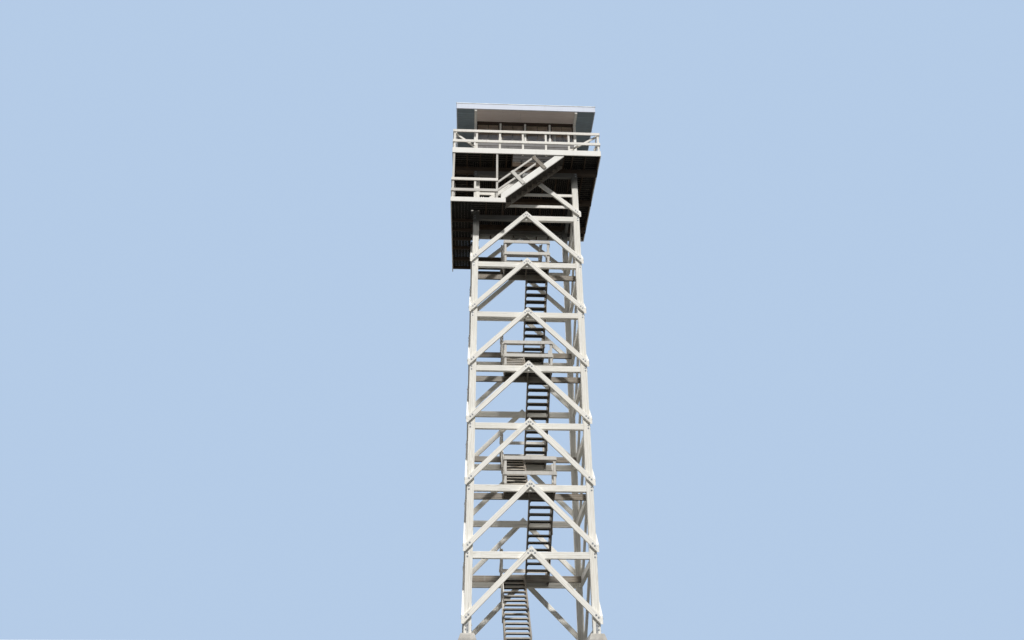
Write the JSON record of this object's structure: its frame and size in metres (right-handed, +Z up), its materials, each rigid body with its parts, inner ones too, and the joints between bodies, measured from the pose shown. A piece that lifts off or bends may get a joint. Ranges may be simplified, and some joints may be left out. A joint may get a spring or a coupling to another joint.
{
  "type": "fire lookout tower",
  "caption": "Timber fire lookout tower: square braced frame on concrete piers, switchback stair inside, side walkway, railed catwalk and a glazed cab under a flat projecting roof.",
  "frame": {"origin": "on the ground, at the middle of the four legs", "axes": "+Z up; the front face, with the last flight up to the deck, looks along -Y; +X to the right of someone who faces the front"},
  "size_m": [6.522, 6.522, 23.2],
  "materials": {
    "weathered_timber": "sun-bleached pale timber with checks and grey grain",
    "walking_boards": "worn grey boards",
    "painted_rail": "chalky off-white paint on timber",
    "painted_wall": "chalky off-white paint on boards",
    "soffit_boards": "brown stained boards",
    "fascia_paint": "off-white paint",
    "roof_cover": "pale grey coated sheet",
    "dark_sash": "dark brown painted sash",
    "window_glass": "clear sheet glass",
    "concrete": "cast concrete with board marks"
  },
  "bodies": {
    "root": {"back_braces": "weathered_timber", "back_catwalk_rail": "painted_rail", "back_girts": "weathered_timber", "back_left_leg": "weathered_timber", "back_right_leg": "weathered_timber", "back_wall": "painted_wall", "cab_floor": "walking_boards", "cab_posts": "painted_wall", "catwalk_floor": "walking_boards", "deck_beams": "weathered_timber", "deck_joists": "weathered_timber", "deck_rims": "painted_rail", "door_frame": "painted_wall", "door_leaf": "painted_wall", "footings": "concrete", "forward_treads": "walking_boards", "front_braces": "weathered_timber", "front_catwalk_rail": "painted_rail", "front_girts": "weathered_timber", "front_left_leg": "weathered_timber", "front_right_leg": "weathered_timber", "front_wall": "painted_wall", "guard_bars": "weathered_timber", "landing_end_rails": "painted_rail", "landing_floors": "walking_boards", "landing_frames": "weathered_timber", "landing_side_rails": "painted_rail", "last_flight_cleats": "weathered_timber", "last_flight_handrail": "painted_rail", "last_flight_stringers": "weathered_timber", "last_flight_treads": "walking_boards", "left_braces": "weathered_timber", "left_catwalk_rail": "painted_rail", "left_girts": "weathered_timber", "left_wall": "painted_wall", "rearward_treads": "walking_boards", "right_braces": "weathered_timber", "right_catwalk_rail": "painted_rail", "right_girts": "weathered_timber", "right_wall": "painted_wall", "roof": "roof_cover", "roof_frame": "fascia_paint", "soffit": "soffit_boards", "stair_cleats": "weathered_timber", "stair_handrails": "painted_rail", "stair_stringers": "weathered_timber", "walkway_floor": "walking_boards", "walkway_frame": "weathered_timber", "walkway_front_rail": "painted_rail", "walkway_hangers": "weathered_timber", "walkway_rear_rail": "painted_rail", "walkway_side_rail": "painted_rail", "wall_plates": "painted_wall", "way_out_post": "weathered_timber", "window_glass": "window_glass", "window_sashes": "dark_sash"}
  },
  "joints": []
}
